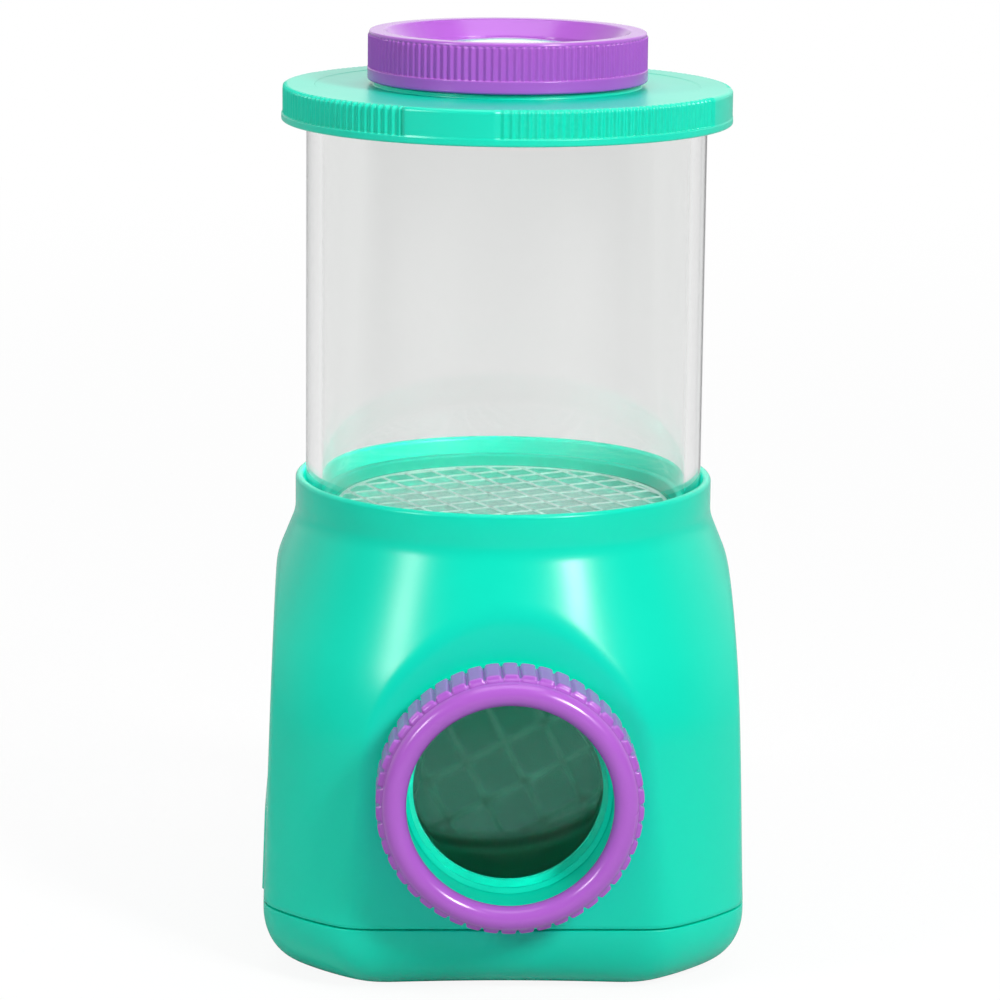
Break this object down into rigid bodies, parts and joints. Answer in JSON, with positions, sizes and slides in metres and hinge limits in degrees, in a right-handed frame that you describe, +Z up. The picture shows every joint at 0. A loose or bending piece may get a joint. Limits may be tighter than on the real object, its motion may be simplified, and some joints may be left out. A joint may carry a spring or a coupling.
{
  "type": "bug viewer jar",
  "caption": "Clear insect viewing jar with a screw lid and a magnifier cap, set in a square mirror base with a round magnifying port.",
  "frame": {"origin": "middle of the base's flat underside, on the jar's axis", "axes": "+Z up along the jar's axis, -Y towards the front, where the round port is, +X to the right of someone facing the port"},
  "size_m": [0.0964, 0.1113, 0.1857],
  "materials": {
    "teal_shell": "satin moulded plastic",
    "teal_pan": "satin moulded plastic",
    "steel_pan_screws": "plated",
    "dark_cradle": "matte",
    "steel_cradle_screws": "plated",
    "mirror": "polished",
    "teal_barrel": "satin moulded plastic",
    "port_lens": "polished",
    "teal_retainer": "satin moulded plastic",
    "purple_ring": "glossy moulded plastic",
    "clear_tube": "polished clear plastic",
    "teal_floor_ring": "satin moulded plastic",
    "clear_floor": "polished clear plastic",
    "liner_foam": "soft foam sheet",
    "teal_lid": "satin moulded plastic",
    "top_lens": "polished",
    "purple_cap": "glossy moulded plastic",
    "purple_snap_ring": "glossy moulded plastic"
  },
  "bodies": {
    "base": {"base_housing": "teal_shell", "bottom_pan": "teal_pan", "pan_screws": "steel_pan_screws", "mirror_cradle": "dark_cradle", "cradle_screws": "steel_cradle_screws", "mirror_glass": "mirror", "port_barrel": "teal_barrel", "port_lens": "port_lens", "port_lens_retainer": "teal_retainer"},
    "port_ring": {"port_ring": "purple_ring"},
    "jar": {"jar_tube": "clear_tube", "floor_ring": "teal_floor_ring", "jar_floor": "clear_floor"},
    "lid_washer": {"lid_liner": "liner_foam"},
    "lid": {"jar_lid": "teal_lid"},
    "cap_lens": {"top_lens": "top_lens"},
    "cap": {"magnifier_cap": "purple_cap", "top_lens_retainer": "purple_snap_ring"}
  },
  "joints": [
    {"name": "port_ring_turn", "type": "hinge", "parent": "base", "child": "port_ring", "pos_m": [0, -0.055, 0.042], "axis": [0, -1, 0], "range_deg": [0, 360]},
    {"name": "jar_lift", "type": "slide", "parent": "base", "child": "jar", "axis": [0, 0, 1], "range_m": [0, 0.12]},
    {"name": "lid_lift", "type": "slide", "parent": "jar", "child": "lid_washer", "axis": [0, 0, 1], "range_m": [0, 0.1]},
    {"name": "lid_turn", "type": "hinge", "parent": "lid_washer", "child": "lid", "pos_m": [0, 0, 0.17], "axis": [0, 0, 1], "range_deg": [0, 450]},
    {"name": "cap_lift", "type": "slide", "parent": "lid", "child": "cap_lens", "axis": [0, 0, 1], "range_m": [0, 0.06]},
    {"name": "cap_turn", "type": "hinge", "parent": "cap_lens", "child": "cap", "pos_m": [0, 0, 0.18], "axis": [0, 0, 1], "range_deg": [0, 450]}
  ]
}
